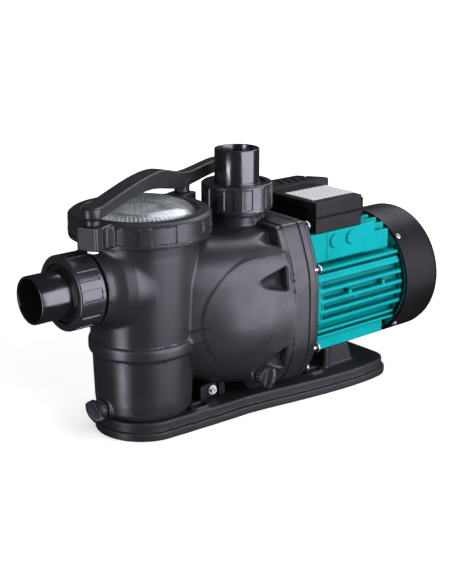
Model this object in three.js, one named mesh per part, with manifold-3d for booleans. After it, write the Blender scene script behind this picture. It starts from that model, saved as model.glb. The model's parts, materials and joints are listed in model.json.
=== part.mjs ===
// Self-priming pool pump with a strainer pot, a ribbed electric motor and a base plate.
// Millimetres, +Z up. The origin is on the underside of the base, below the discharge axis.
// -X is the suction side, +X the fan end, -Y the side with the two drain plugs in view.
import * as THREE from 'three';
import { mergeVertices } from 'three/addons/utils/BufferGeometryUtils.js';
import Module from 'manifold-3d';

const wasm = await Module();
wasm.setup();

// ---- Driving dimensions ----
const GAP = 0.3;                  // clearance between pieces that touch
const POT_X = -133.5;             // axis of the strainer pot
const SUCTION_Z = 169.4;          // axis of the suction port
const MOTOR_Z = 109.4;            // axis of the shaft
const PIPE_R = 25;                // 50 mm union tailpieces
const PIPE_BORE_R = 22.2;
const PORT_BORE_R = 22;
const NUT_R = 40;
const NUT_LENGTH = 30;
const THREAD_R = 33;
const NUT_BORE_R = THREAD_R + 0.6;
const NUT_MOUTH_R = 31.2;         // the nut's end opening, which the tailpiece's shoulder shows in
const SUCTION_END = 137.5;        // suction pipe end, from the pot axis
const DISCHARGE_END = 290;        // discharge pipe end, above the floor
const NECK_LENGTH = 20.5;         // threaded length inside a union nut
const BASE_TOP = 20;
const BASE_END_X = 189;
const BASE_WALL = 5;
const FLANGE_FRONT = 3;
const FLANGE_BACK = 33;
const BRACKET_BACK = 51;
const RIM_Z = 232;                // top of the strainer pot
const RING_R = 75.2;
const RING_OPENING_R = 61;
const RING_BOTTOM = 216.8;
const RING_TOP = 242.8;
const LUG_REACH = 97;
const LEVER_ANGLE = 21;           // degrees from +X, about the pot axis
const HOUSING_BACK = 202;
const HOUSING_BORE_R = 57;
const FAN_COVER_R = 77.4;
const FAN_COVER_FRONT = 203;
const FAN_COVER_BACK = 262;
const COVER_SCREW_X = 208.5;
const COVER_SCREW_TURNS = [45, 135, 225, 315];
const BOX_BOTTOM = 190 + GAP;
const BOX_SPLIT = 208.5;
const BOX_TOP = 226;
const HOOD_TOP = 229.8;           // the cover's raised rear band
const GLAND_Z = 198.5;
const SHAFT_R = 8;
const STRAINER_DRAIN_Z = 31;
const STRAINER_DRAIN_OUT = 52.5;    // drain boss face, from the pot axis
const CASING_DRAIN = [-27, 52];   // x and z
const CASING_DRAIN_Y = 74;        // drain boss face, from the middle plane
const DISCHARGE_FACE = 245;       // end face of the threaded discharge neck
const TAIL_LENGTH = 44;           // of the suction tailpiece, past the neck's face
const BEARING_R = 17.5;
const CHAMBER_R = 74;
const FLANGE_BOLTS = [[58, 204], [79, 158], [79, 66], [61, 37]];
const BASE_SLOTS = [[-91, 43], [80, 47]];
const SLOT_WIDTH = 9;
const SLOT_LENGTH = 18;
const FOOT_X = [-78, -46];        // bracket that ties the casing to the base
const FOOT_SCREW = [-61, 29];     // x and z
const FOOT_TOP = 36;
const THREAD_RING_R = 64.8;       // bore of the locking ring, over the pot's rim
const IMPELLER_R = 55;
const MOTOR_BEARING_WIDTH = 12;
const WINDING_TURNS = [0, 60, 120, 180, 240, 300];
const BASKET_PORT_R = 20;         // inlet hole in the basket's side

// ---- Materials ----
function material(color, roughness, metalness = 0, opacity = 1) {
  return new THREE.MeshStandardMaterial({
    color, roughness, metalness, opacity, transparent: opacity < 1,
  });
}
const CHARCOAL = () => material(0x45464b, 0.5);
const BLACK_PLASTIC = () => material(0x1d1e20, 0.45);
const GLOSS_BLACK = () => material(0x222325, 0.25);
const TEAL = () => material(0x00a5a8, 0.45);
const STEEL = () => material(0xb8bbc0, 0.3, 1);
const RUBBER = () => material(0x111111, 0.8);
const CLEAR = () => material(0xe8f0f4, 0.05, 0, 0.35);
const LABEL = () => material(0xc4c8ca, 0.6);
const NATURAL_PLASTIC = () => material(0xd9d6c8, 0.5);
const IRON = () => material(0x77797c, 0.6, 0.8);
const COPPER = () => material(0xb36a3c, 0.4, 0.9);
const CERAMIC = () => material(0xe6e2da, 0.4);

// ---- Solids ----
const MERGE_TOLERANCE = 1e-4;

function signedVolume(positions, triangles) {
  let sum = 0;
  const [a, b, c] = [new THREE.Vector3(), new THREE.Vector3(), new THREE.Vector3()];
  for (let i = 0; i < triangles.length; i += 3) {
    a.fromArray(positions, 3 * triangles[i]);
    b.fromArray(positions, 3 * triangles[i + 1]);
    c.fromArray(positions, 3 * triangles[i + 2]);
    sum += a.dot(b.cross(c));
  }
  return sum;
}

// A closed geometry becomes a solid: merged vertices, no slivers on the axis, faces outwards.
function solid(geometry) {
  geometry.deleteAttribute('normal');
  geometry.deleteAttribute('uv');
  const merged = mergeVertices(geometry, MERGE_TOLERANCE);
  const positions = merged.getAttribute('position').array;
  const index = merged.getIndex().array;
  const triangles = [];
  for (let i = 0; i < index.length; i += 3) {
    const [a, b, c] = [index[i], index[i + 1], index[i + 2]];
    if (a !== b && b !== c && c !== a) triangles.push(a, b, c);
  }
  if (signedVolume(positions, triangles) < 0) triangles.reverse();
  return new wasm.Manifold(new wasm.Mesh({
    numProp: 3,
    vertProperties: new Float32Array(positions),
    triVerts: new Uint32Array(triangles),
  }));
}

function node(name, shape, look) {
  const mesh = shape.getMesh();
  const geometry = new THREE.BufferGeometry();
  geometry.setAttribute('position', new THREE.BufferAttribute(mesh.vertProperties, 3));
  geometry.setIndex(new THREE.BufferAttribute(mesh.triVerts, 1));
  geometry.computeVertexNormals();
  const piece = new THREE.Mesh(geometry, look);
  piece.name = name;
  return piece;
}

const union = (first, ...rest) => rest.reduce((sum, next) => sum.add(next), first);
const cut = (first, ...rest) => rest.reduce((left, next) => left.subtract(next), first);
const mirrorY = (shape) => shape.scale([1, -1, 1]);
const bothSides = (shape) => shape.add(mirrorY(shape));

// A profile of [radius, height] turned about +Z. It starts and ends on the axis.
function turned(profile, segments = 20) {
  const points = profile.map(([r, h]) => new THREE.Vector2(r, h));
  return solid(new THREE.LatheGeometry(points, segments).rotateX(Math.PI / 2));
}

// The same for a ring: the profile closes on itself.
function turnedRing(profile, segments = 20) {
  return turned([...profile, profile[0]], segments);
}

const tubeRing = (inner, outer, low, high, segments) => turnedRing(
  [[inner, low], [outer, low], [outer, high], [inner, high]], segments);
const disc = (radius, low, high, segments) => turned(
  [[0, low], [radius, low], [radius, high], [0, high]], segments);

// Local +Z laid along +X, along -X or along -Y.
const alongX = (shape) => shape.rotate([0, 90, 0]);
const alongMinusX = (shape) => shape.rotate([0, -90, 0]);
const alongMinusY = (shape) => shape.rotate([90, 0, 0]);
const onShaft = (shape) => alongX(shape).translate([0, 0, MOTOR_Z]);

function box([x0, x1], [y0, y1], [z0, z1]) {
  const geometry = new THREE.BoxGeometry(x1 - x0, y1 - y0, z1 - z0);
  return solid(geometry.translate((x0 + x1) / 2, (y0 + y1) / 2, (z0 + z1) / 2));
}

function polygon(points) {
  return new THREE.Shape(points.map(([u, v]) => new THREE.Vector2(u, v)));
}

// A plan outline raised in Z, a side outline (x, z) or an end outline (y, z) drawn out.
function raised(shape, low, high) {
  const geometry = new THREE.ExtrudeGeometry(shape,
    { depth: high - low, bevelEnabled: false, curveSegments: 4 });
  return solid(geometry.translate(0, 0, low));
}
const sideSlab = (points, y0, y1) => raised(polygon(points), -y1, -y0).rotate([90, 0, 0]);
const endSlab = (points, x0, x1) => raised(polygon(points), x0, x1)
  .rotate([0, 0, 90]).rotate([0, 90, 0]);

// ---- Base plate ----
function baseOutline(inset) {
  const side = [[-57, 57], [-24, 57], [47, 68], [91, 73], [131, 75], [165, 73], [181, 66],
    [188, 54], [BASE_END_X, 45]];
  const shape = new THREE.Shape();
  const radius = 55 - inset;
  shape.moveTo(POT_X, radius);
  shape.absarc(POT_X, 0, radius, Math.PI / 2, 1.5 * Math.PI, false);
  const inner = side.map(([x, y]) => [Math.min(x, BASE_END_X - inset), y - inset]);
  inner.forEach(([x, y]) => shape.lineTo(x, -y));
  inner.reverse().forEach(([x, y]) => shape.lineTo(x, y));
  return shape;
}

function slotShape(width, length) {
  const straight = (length - width) / 2;
  const shape = new THREE.Shape();
  shape.absarc(straight, 0, width / 2, -Math.PI / 2, Math.PI / 2, false);
  shape.absarc(-straight, 0, width / 2, Math.PI / 2, 1.5 * Math.PI, false);
  return shape;
}

// Open pockets under the plate, with solid bars across it at the floor screws and a rib
// crossing at the origin.
function basePockets() {
  const rib = BASE_WALL / 2;
  const spans = [[-190, -112], [-70, -rib], [rib, 58], [102, 190]];
  const cells = spans.map((span) => bothSides(box(span, [rib, 80], [-1, BASE_TOP - BASE_WALL])));
  return union(...cells).intersect(raised(baseOutline(BASE_WALL), -2, BASE_TOP));
}

function basePlate() {
  let plate = raised(baseOutline(0), 0, 9).add(raised(baseOutline(3.5), 8, BASE_TOP));
  plate = plate.subtract(basePockets());
  const pedestal = sideSlab([[97, 15], [99, 45], [137, 45], [150, 15]], -48, 48);
  plate = plate.add(pedestal);
  for (const [x, y] of BASE_SLOTS) {
    const boss = raised(slotShape(SLOT_WIDTH + 9, SLOT_LENGTH + 9), 0, BASE_TOP + 3);
    const slot = raised(slotShape(SLOT_WIDTH, SLOT_LENGTH), -1, BASE_TOP + 5);
    plate = plate.add(bothSides(boss.translate([x, y, 0])));
    plate = plate.subtract(bothSides(slot.translate([x, y, 0])));
  }
  return plate;
}

// ---- Foot bracket that ties the pump casing to the base ----
const footBore = (radius) => alongMinusY(disc(radius, -60, 60, 10))
  .translate([FOOT_SCREW[0], 0, FOOT_SCREW[1]]);

function footBracket() {
  const floor = box(FOOT_X, [-28, 28], [BASE_TOP + GAP, BASE_TOP + 4]);
  const ear = box(FOOT_X, [-31, -26], [BASE_TOP + GAP, FOOT_TOP]);
  const recess = box([FOOT_SCREW[0] - 8, FOOT_SCREW[0] + 8], [-32, -29], [BASE_TOP, 40]);
  return cut(floor.add(bothSides(ear.subtract(recess))), footBore(2.8));
}

function footScrew() {
  const head = disc(5.5, 29 + GAP, 30.5, 16).add(disc(3.6, 30, 34, 6));
  return cut(head.add(disc(2.4, 14, 30, 12)), disc(1.6, 31.8, 35, 6));
}

// ---- Pump casing ----
function flangePoints(inset = 0) {
  const half = [[60, 214], [66, 208], [74, 190], [85, 159], [87, 133], [87, 83], [84, 63],
    [68, 32], [46, 23]];
  const centre = 114;
  const shrink = (v, middle) => v - Math.sign(v - middle) * inset;
  const right = half.map(([y, z]) => [y - inset, shrink(z, centre)]);
  const left = right.map(([y, z]) => [-y, z]).reverse();
  return [...right, ...left].reverse();
}

function flangeHoles(radius, x0, x1) {
  const holes = FLANGE_BOLTS.map(([y, z]) => bothSides(
    alongX(disc(radius, x0, x1, 8)).translate([0, y, z])));
  return union(...holes);
}

function potOutside() {
  const shell = turned([[0, BASE_TOP + GAP], [34, BASE_TOP + GAP], [44, 26], [48, 37],
    [52, 86], [56, 89], [56.5, 104], [53.6, 107], [60, 203], [61, 214], [64, 216],
    [64, RIM_Z], [0, RIM_Z]]);
  return shell.translate([POT_X, 0, 0]);
}

function potInside() {
  return turned([[0, 25.5], [34, 25.5], [41, 30], [44, 38], [48, 86], [51, 203], [55, 203],
    [55, RIM_Z + 8], [0, RIM_Z + 8]]).translate([POT_X, 0, 0]);
}

function bridge() {
  const side = sideSlab([[POT_X, 50], [-84, 48], [-60, 42], [-40, 36], [-20, 27], [5, 24], [5, 203],
    [-60, 206], [POT_X, 206]], -90, 90);
  const plan = polygon([[POT_X, -46], [-100, -54], [-66, -74], [-34, -84], [5, -86],
    [5, 86], [-34, 84], [-66, 74], [-100, 54], [POT_X, 46]]);
  const round = alongX(turned([[0, -140], [76, -140], [82, -88], [87, 5], [0, 5]], 32));
  const oval = round.scale([1, 1, 1.12]).translate([0, 0, MOTOR_Z]);
  return side.intersect(raised(plan, 0, 240)).intersect(oval);
}

function suctionNeck(profile) {
  return alongMinusX(turned(profile)).translate([POT_X, 0, SUCTION_Z]);
}

// The seal groove in the end face of a threaded neck.
const neckGroove = (end) => tubeRing(24.4, 29.6, end - 2.7, end + 1, 24);

function pumpCasing() {
  const barrel = turned([[0, -84], [40, -84], [60, -72], [73, -54], [80, -36], [85, -16], [86, 5],
    [0, 5]]);
  const neckEnd = SUCTION_END - TAIL_LENGTH;
  const neckStart = neckEnd - NECK_LENGTH;
  const suction = [[0, 30], [46, 30], [46, 50], [40.5, 55], [40.5, 69], [31, 69], [31, neckStart - 1],
    [THREAD_R, neckStart], [THREAD_R, neckEnd], [0, neckEnd]];
  const discharge = [[0, 180], [32.6, 180], [32.6, 205], [29.5, 207], [29.5, 221],
    [THREAD_R, 223], [THREAD_R, DISCHARGE_FACE], [0, DISCHARGE_FACE]];
  const bosses = FLANGE_BOLTS.map(([y, z]) => bothSides(
    alongX(turned([[0, -32], [9, 5], [0, 5]], 6)).translate([0, y, z])));
  const drainBoss = alongMinusX(disc(11, 38, STRAINER_DRAIN_OUT, 16))
    .translate([POT_X, 0, STRAINER_DRAIN_Z]);
  const casingBoss = alongMinusY(disc(13, 40, CASING_DRAIN_Y, 16))
    .translate([CASING_DRAIN[0], 0, CASING_DRAIN[1]]);
  const footSpace = box([FOOT_X[0] - 1, FOOT_X[1] + 1], [-33, 33], [0, FOOT_TOP + 0.5]);
  const footLug = box([FOOT_X[0] + 4, FOOT_X[1] - 4], [-25.6, 25.6], [BASE_TOP + 4 + GAP, 48]);
  const body = cut(union(potOutside(), onShaft(barrel), bridge()), footSpace);
  const outside = union(body, suctionNeck(suction), turned(discharge),
    endSlab(flangePoints(), FLANGE_FRONT, FLANGE_BACK), drainBoss, casingBoss, footLug, ...bosses);
  const chamber = turned([[0, -58], [27, -58], [58, -58], [69, -48], [CHAMBER_R, -34],
    [CHAMBER_R, FLANGE_BACK + 5], [0, FLANGE_BACK + 5]]);
  const eye = disc(27, -100, -50, 32);
  return cut(outside, potInside(), onShaft(chamber), onShaft(eye),
    suctionNeck([[0, 0], [PORT_BORE_R, 0], [PORT_BORE_R, 120], [0, 120]]),
    disc(PORT_BORE_R, MOTOR_Z, 260), flangeHoles(2.9, 12, FLANGE_BACK + 5),
    suctionNeck([[24.4, neckEnd - 2.7], [29.6, neckEnd - 2.7], [29.6, neckEnd + 1],
      [24.4, neckEnd + 1], [24.4, neckEnd - 2.7]]),
    neckGroove(DISCHARGE_FACE), tubeRing(56.6, 60.4, RIM_Z - 2.6, RIM_Z + 1).translate([POT_X, 0, 0]),
    alongMinusX(disc(5.8, 30, 60, 12)).translate([POT_X, 0, STRAINER_DRAIN_Z]),
    alongMinusY(disc(5.8, 50, 90, 12)).translate([CASING_DRAIN[0], 0, CASING_DRAIN[1]]), footBore(2.8));
}

// ---- Rear bracket, bolts and shaft seal ----
function rearBracket() {
  const start = FLANGE_BACK + GAP;
  const plate = union(endSlab(flangePoints(), start, 43), endSlab(flangePoints(4), 42, BRACKET_BACK));
  const spigot = onShaft(tubeRing(60, CHAMBER_R - 0.4, 22, 36));
  const hub = onShaft(disc(26, 14, 45, 32));
  const relief = onShaft(turnedRing([[26, 44], [62, 44], [62, 60], [26, 60]]));
  return cut(union(plate, spigot, hub), relief, flangeHoles(3.3, 20, 60),
    onShaft(disc(9.5, 10, 60, 24)), onShaft(disc(16.4, 10, 22, 32)),
    onShaft(tubeRing(70.6, 80, 25.6, 29.6)));
}

const casingSeal = () => tubeRing(70.9, CHAMBER_R - GAP, 25.9, 29.3);

function flangeBolt() {
  const end = BRACKET_BACK + GAP;
  const shank = disc(2.5, 16, end + 1, 6);
  const washerHead = turned([[0, end], [5.6, end], [5.6, end + 1], [4.4, end + 4],
    [0, end + 4]], 8);
  return shank.add(washerHead);
}

function sealSeat() {
  return tubeRing(9, 16, 14.5, 21.7, 20);
}

function sealRotor() {
  return turnedRing([[SHAFT_R + GAP, -7.5], [13, -7.5], [13, 4], [15, 5], [15, 10],
    [14, 14.2], [SHAFT_R + GAP, 14.2]], 20);
}

// ---- Impeller, diffuser and nut ----
function impellerVane(turn) {
  const vane = polygon([[13, -2], [30, 3], [46, 15], [53, 26], [50, 28], [43, 18], [28, 7],
    [13, 2]]);
  return raised(vane, -32, -13).rotate([0, 0, turn]);
}

function impeller() {
  const backShroud = disc(IMPELLER_R, -14, -11);
  const frontShroud = turnedRing([[20, -44], [23, -44], [23, -35], [IMPELLER_R, -32],
    [IMPELLER_R, -30], [20, -32]]);
  const hub = disc(15, -19, -8, 24);
  const vanes = [0, 60, 120, 180, 240, 300].map(impellerVane);
  return cut(union(backShroud, frontShroud, hub, ...vanes), disc(SHAFT_R + GAP, -16, 0, 24),
    disc(5.4, -30, 0, 16));
}

function diffuser() {
  const cup = turnedRing([[23.6, -66], [26.6, -66], [26.6, -50], [64, -50], [70, -44],
    [70, 8], [67, 8], [67, -42], [62, -47], [23.6, -47]]);
  const windows = [];
  for (let i = 0; i < 6; i += 1) {
    windows.push(box([60, 80], [-11, 11], [-36, -14]).rotate([0, 0, i * 60]));
  }
  return cut(cup, ...windows);
}

const impellerNut = () => cut(
  disc(8.5, -30, -19 - GAP, 6).add(turned([[0, -35], [4, -34], [6.5, -30], [6.5, -28], [0, -28]], 16)),
  disc(5.4, -29, -10, 16));

// ---- Motor ----
function shaft() {
  return turned([[0, -28.5], [5, -28.5], [5, -16 + GAP], [SHAFT_R, -16 + GAP],
    [SHAFT_R, 238], [0, 238]], 24);
}

function housingOutline() {
  const fins = 16;
  const points = [];
  const pitch = 2 * Math.PI / fins;
  for (let i = 0; i < fins; i += 1) {
    for (const [part, radius] of [[0, 70.5], [0.34, 70.5], [0.42, 65], [0.92, 65]]) {
      const angle = (i + part) * pitch;
      points.push([radius * Math.cos(angle), MOTOR_Z + radius * Math.sin(angle)]);
    }
  }
  return points;
}

function motorHousing() {
  const start = BRACKET_BACK + GAP;
  const finned = endSlab(housingOutline(), start + 16, HOUSING_BACK - 8);
  const core = onShaft(disc(65, start + 6, HOUSING_BACK));
  const front = onShaft(disc(71, start, start + 20));
  const platform = box([62, 168], [-55, 55], [157, 190]);
  const foot = box([90, 185], [-42, 42], [47 + GAP, 70]);
  const bearingSeat = onShaft(disc(23, start + 2, start + 20, 32));
  const bore = onShaft(disc(HOUSING_BORE_R, start + 7, HOUSING_BACK + 5));
  const under = box([start + 9, HOUSING_BACK + 5], [-60, 60], [30, 47 + GAP]);
  const body = cut(union(finned, core, front, platform, foot), bore, under);
  const wiring = box([100, 116], [-8, 8], [150, 200]);
  return cut(body.add(bearingSeat), onShaft(disc(12, start - 5, 80, 24)), wiring,
    onShaft(disc(BEARING_R + GAP, start + 7, 80, 32)));
}

const bearing = (start) => tubeRing(SHAFT_R + GAP, BEARING_R, start, start + MOTOR_BEARING_WIDTH, 20);

function statorCore() {
  const slots = WINDING_TURNS.map((turn) => disc(4.4, 70, 180, 8).translate([44, 0, 0])
    .rotate([0, 0, turn]));
  return cut(tubeRing(34, HOUSING_BORE_R - GAP, 82, 162), ...slots);
}

function statorWinding() {
  const ends = [[68, 81.7], [162.3, 176]].map(([low, high]) => tubeRing(37, 52, low, high, 24));
  const bars = WINDING_TURNS.map((turn) => disc(4, 80, 164, 8).translate([44, 0, 0])
    .rotate([0, 0, turn]));
  return union(...ends, ...bars);
}

const rotorCore = () => tubeRing(SHAFT_R + GAP, 33.4, 83, 161, 24);

function rearShield() {
  const start = HOUSING_BACK + GAP;
  const inner = start - 12;
  const plate = turned([[0, inner], [24, inner], [24, start - 3], [HOUSING_BORE_R - 0.5, start - 3],
    [HOUSING_BORE_R - 0.5, start], [66, start], [66, start + 8], [0, start + 8]]);
  const lugs = COVER_SCREW_TURNS.map((turn) => box([65, 74.2], [-6, 6], [start, start + 11.5])
    .rotate([0, 0, turn]));
  const pilots = COVER_SCREW_TURNS.map((turn) => alongX(disc(2, 66, 80, 8))
    .translate([0, 0, COVER_SCREW_X]).rotate([0, 0, turn]));
  return cut(union(plate, ...lugs), disc(10, 180, start + 10, 24), ...pilots,
    disc(BEARING_R + GAP, 180, start + 0.7, 32));
}

function coolingFan() {
  const blades = [];
  for (let i = 0; i < 7; i += 1) {
    blades.push(box([12, 71], [-1.3, 1.3], [217.5, 236]).rotate([0, 0, i * 360 / 7]));
  }
  const rotor = union(disc(15, 211, 238, 24), disc(71, 215.5, 218, 32), ...blades);
  return cut(rotor, disc(SHAFT_R + GAP, 200, 250, 24));
}

function fanCover() {
  const wall = 2.4;
  const back = FAN_COVER_BACK;
  const cup = turned([[0, back - wall], [64, back - wall], [72, back - 5], [75, back - 12],
    [75, FAN_COVER_FRONT], [FAN_COVER_R, FAN_COVER_FRONT], [FAN_COVER_R, back - 12],
    [74, back - 4], [66, back], [0, back]], 32);
  const slots = [];
  for (let i = 0; i < 16; i += 1) {
    slots.push(box([20, 60], [-2.5, 2.5], [back - 20, back + 5]).rotate([0, 0, i * 22.5]));
  }
  const screwHoles = COVER_SCREW_TURNS.map((turn) => alongX(disc(2.4, 66, 90, 8))
    .translate([0, 0, COVER_SCREW_X]).rotate([0, 0, turn]));
  return cut(cup, ...slots, ...screwHoles);
}

// Laid radially at a fan cover lug: the head sits just outside the cover.
function fanCoverScrew(turn) {
  const head = alongX(turned([[0, 69], [1.6, 69], [1.6, 78], [3.6, FAN_COVER_R + GAP + 0.1],
    [3.6, 79], [2.4, 80], [0, 80]], 8));
  return head.translate([0, 0, COVER_SCREW_X]).rotate([0, 0, turn]);
}

// ---- Terminal box ----
// The rear right corner is cut off: moving its ends by these shares keeps the wall even.
const boxCorner = (inset) => [[166 - inset, 30 - 0.32 * inset], [146 - 0.515 * inset, 58 - inset]];

function boxOutline(inset) {
  return polygon([[70 + inset, -55 + inset], [144 - inset, -55 + inset],
    [144 - inset, 22 + inset], [166 - inset, 22 + inset], ...boxCorner(inset),
    [70 + inset, 58 - inset]]);
}

function hoodOutline(inset) {
  return polygon([[70 + inset, 22 + inset], [166 - inset, 22 + inset], ...boxCorner(inset),
    [70 + inset, 58 - inset]]);
}

function terminalBoxBase() {
  const shell = raised(boxOutline(1.5), BOX_BOTTOM, BOX_SPLIT - 1);
  const room = raised(boxOutline(5), BOX_BOTTOM + 3, BOX_SPLIT + 5);
  const wiring = box([102, 114], [-6, 6], [180, 200]);
  const glandHole = alongMinusY(disc(5.1, -70, -40, 16)).translate([88, 0, GLAND_Z]);
  return cut(shell, room, wiring, glandHole);
}

const terminalBoxGasket = () => cut(raised(boxOutline(2), BOX_SPLIT - 1 + GAP, BOX_SPLIT - GAP / 3),
  raised(boxOutline(5), BOX_SPLIT - 2, BOX_SPLIT + 5));

function terminalBoxCover() {
  const start = BOX_SPLIT + GAP / 2;
  const lid = raised(boxOutline(0), start, BOX_TOP).add(raised(hoodOutline(0), start, HOOD_TOP));
  const room = raised(boxOutline(4), start - 5, BOX_TOP - 3)
    .add(raised(hoodOutline(4), start - 5, HOOD_TOP - 3));
  return cut(lid, room);
}

const ratingPlate = () => box([77, 143], [-42, 4], [BOX_TOP + GAP, BOX_TOP + 0.9]);
const capacitor = () => alongX(disc(13.5, 88, 140, 32)).translate([0, 40, 213]);

function terminalBlock() {
  const body = box([84, 130], [-32, -14], [BOX_BOTTOM + 3 + GAP, 207]);
  const wells = [90, 101, 112, 123].map((x) => disc(3, 200, 210, 12).translate([x, -23, 0]));
  return cut(body, ...wells);
}

function cableGland() {
  const body = turnedRing([[3.2, 50], [4.8, 50], [4.8, 56.5 + GAP], [9.5, 56.5 + GAP], [9.5, 66],
    [8.5, 67], [8.5, 75], [5.5, 79], [3.2, 79]], 16);
  return alongMinusY(body).rotate([0, 0, 180]).translate([88, 0, GLAND_Z]);
}

// ---- Strainer basket, lid and locking ring ----
function strainerBasket() {
  const cup = turned([[0, 39], [40, 39], [47.6, 203 + GAP], [53.5, 203 + GAP], [53.5, 206],
    [45.6, 206], [45.2, 196], [38, 41.5], [0, 41.5]]);
  const windows = [];
  for (let i = 0; i < 8; i += 1) {
    const byPort = i === 3 || i === 4;
    for (const [low, high] of byPort ? [[50, 116]] : [[50, 116], [124, 188]]) {
      windows.push(box([30, 60], [-8, 8], [low, high]).rotate([0, 0, i * 45 + 22.5]));
    }
  }
  const port = alongMinusX(disc(BASKET_PORT_R, 30, 60, 24)).translate([0, 0, SUCTION_Z]);
  const floorHoles = [];
  for (let i = 0; i < 6; i += 1) {
    floorHoles.push(disc(6, 30, 50, 8).translate([18, 0, 0]).rotate([0, 0, i * 60]));
  }
  const handle = box([-46, 46], [-3, 3], [202, 206]);
  return cut(cup, ...windows, port, ...floorHoles).add(handle);
}

function clearLid() {
  const bottom = RIM_Z + GAP;
  return turned([[0, 248.4], [20, 247.6], [38, 244.4], [50, 240], [54, 236], [54, bottom],
    [63, bottom], [63, bottom + 4], [60, bottom + 4], [58.5, 241], [50, 246.4], [38, 250],
    [20, 252.2], [0, 253]]);
}

const lidSeal = () => tubeRing(56.9, 60.1, RIM_Z - 2.3, RIM_Z);

function lidRing() {
  const shell = turnedRing([[THREAD_RING_R, RING_BOTTOM], [RING_R, RING_BOTTOM],
    [RING_R + 0.6, RING_BOTTOM + 4], [RING_R, RING_TOP - 3], [RING_R - 3, RING_TOP - 0.6],
    [RING_OPENING_R, RING_TOP], [RING_OPENING_R, RIM_Z + 5], [THREAD_RING_R, RIM_Z + 5]], 32);
  const lug = box([70, LUG_REACH], [-12.5, 12.5], [RING_BOTTOM + 2.2, RING_TOP])
    .rotate([0, 0, LEVER_ANGLE]);
  const farLug = lug.rotate([0, 0, 180]);
  const screwHoles = [-86, 86].map((s) => disc(3.4, 210, 250, 10).translate([s, 0, 0])
    .rotate([0, 0, LEVER_ANGLE]));
  return cut(union(shell, lug, farLug), ...screwHoles);
}
// Side outline of the arched lever, along its own run s and height z.
function lidLever() {
  const top = [[-97, 262], [-84, 266], [-52, 274], [-28, 278], [-2, 279.5], [25, 277],
    [52, 271.5], [80, 268.5], [126, 269], [165, 270], [176, 266]];
  const under = [[176, 259], [165, 256], [126, 254.6], [91, 254], [77, 254], [51, 256],
    [19, 260.5], [-2, 261.5], [-28, 259], [-53, 254.5], [-76, 250], [-97, 250]];
  const side = sideSlab([...under, ...top], -14, 14);
  const plan = polygon([[-97, -8], [-60, -10.5], [0, -11], [40, -10], [70, -7.4], [160, -7.4],
    [176, -5], [176, 5], [160, 7.4], [70, 7.4], [40, 10], [0, 11], [-60, 10.5], [-97, 8]]);
  const arch = side.intersect(raised(plan, 200, 300));
  const boss = disc(8.5, RING_TOP + GAP, 255, 16).translate([-86, 0, 0]);
  const farBoss = disc(7, RING_TOP + GAP, 255, 16).translate([86, 0, 0]);
  const holes = [-86, 86].map((s) => disc(3.4, 235, 247.5, 10).translate([s, 0, 0]));
  return cut(union(arch, boss, farBoss), ...holes).rotate([0, 0, LEVER_ANGLE]);
}

// The screws come up from below, through the ring's lugs into the lever.
function leverScrew(s) {
  const head = disc(6, RING_BOTTOM - 1.4, RING_BOTTOM + 1.9, 6);
  return head.add(disc(3, RING_BOTTOM, 247.2, 10)).translate([s, 0, 0]).rotate([0, 0, LEVER_ANGLE]);
}

// ---- Pipe unions, with local +Z along the pipe and the neck's face at zero ----
function unionNut() {
  const low = 8.3 - NUT_LENGTH;
  return turnedRing([[NUT_BORE_R, low], [NUT_R - 1.5, low], [NUT_R, low + 1.5],
    [NUT_R, 6.8], [NUT_R - 1.5, 8.3], [NUT_MOUTH_R, 8.3], [NUT_MOUTH_R, 5], [NUT_BORE_R, 5]]);
}

const tailpiece = (length) => turnedRing([[PIPE_BORE_R, GAP], [THREAD_R, GAP], [THREAD_R, 4.6],
  [NUT_MOUTH_R - 0.8, 4.6], [NUT_MOUTH_R - 0.8, 6.4], [PIPE_R, 6.4], [PIPE_R, length], [PIPE_BORE_R, length]]);

const unionSeal = () => tubeRing(24.8, 29.2, -2.4, 0, 24);

function pipeUnion(side, length) {
  const group = new THREE.Group();
  group.add(node(`${side}_tailpiece`, tailpiece(length), GLOSS_BLACK()));
  group.add(node(`${side}_o_ring`, unionSeal(), RUBBER()));
  group.add(node(`${side}_union_nut`, unionNut(), CHARCOAL()));
  return group;
}

// ---- Drain plugs, with local +Z outwards and the boss's face at zero ----
function drainPlug(wing) {
  const plug = turned([[0, -9], [5, -9], [5, 2.2], [10, 2.2], [10.8, 4], [10.8, 9], [9.5, 10.5],
    [0, 10.5]], 16);
  const blade = raised(polygon([[-wing, 0], [wing, 0], [wing - 1.5, 10], [3, 12], [-3, 12],
    [-wing + 1.5, 10]]), -2.4, 2.4).rotate([90, 0, 0]).translate([0, 0, 9]);
  return plug.add(blade);
}

const drainSeal = () => tubeRing(5.9, 8.8, GAP, 2, 16);

function drain(side, wing, turn) {
  const group = new THREE.Group();
  group.add(node(`${side}_drain_plug`, drainPlug(wing).rotate([0, 0, turn]), CHARCOAL()));
  group.add(node(`${side}_drain_o_ring`, drainSeal(), RUBBER()));
  return group;
}

// ---- Assembly ----
const group = new THREE.Group();
const add = (name, shape, look) => group.add(node(name, shape, look));

add('base_plate', basePlate(), BLACK_PLASTIC());
add('motor_pad', box([101, 135], [-40, 40], [45 + GAP, 47]), RUBBER());
add('foot_bracket', footBracket(), BLACK_PLASTIC());
add('pump_casing', pumpCasing(), CHARCOAL());
add('rear_bracket', rearBracket(), CHARCOAL());

['near', 'far'].forEach((side, i) => {
  const screw = node(`foot_screw_${side}`, footScrew(), STEEL());
  screw.position.set(FOOT_SCREW[0], 0, FOOT_SCREW[1]);
  screw.rotation.x = i === 0 ? Math.PI / 2 : -Math.PI / 2;
  group.add(screw);
});

[1, -1].forEach((side, i) => FLANGE_BOLTS.forEach(([y, z], j) => {
  const bolt = node(`flange_bolt_${4 * i + j + 1}`, flangeBolt(), STEEL());
  bolt.position.set(0, -side * y, z);
  bolt.rotation.y = Math.PI / 2;
  group.add(bolt);
}));

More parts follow.
